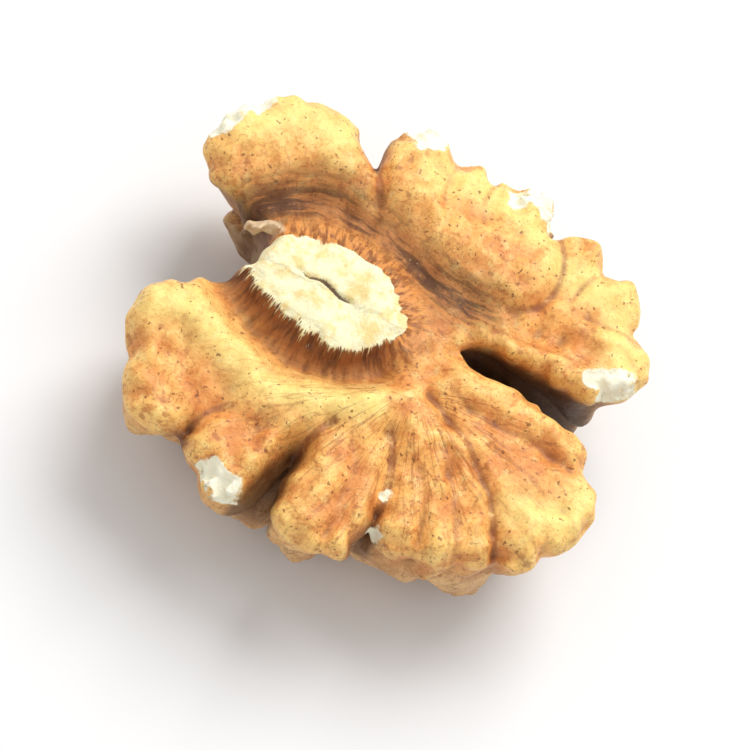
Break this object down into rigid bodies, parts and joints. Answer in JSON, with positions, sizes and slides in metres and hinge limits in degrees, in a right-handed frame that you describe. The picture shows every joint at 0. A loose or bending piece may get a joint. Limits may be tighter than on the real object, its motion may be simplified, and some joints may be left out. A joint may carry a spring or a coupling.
{
  "type": "walnut kernel",
  "caption": "Half of a walnut kernel: lobed wings round a pale broken neck, a long slot at one end, a notch at the other and a deeply folded outer side.",
  "frame": {"origin": "centre of the bounding box in plan, at the level of the flat spots that the kernel rests on", "axes": "+X along the kernel to the end with the long slot, +Y across it to the wing with the deep rim notch, +Z out of the inner face"},
  "size_m": [0.0334, 0.0302, 0.0128],
  "materials": {
    "walnut_skin": "satin golden-tan skin with fine brown veins, dark furrows and pale broken flesh"
  },
  "bodies": {
    "root": {"kernel": "walnut_skin"}
  },
  "joints": []
}
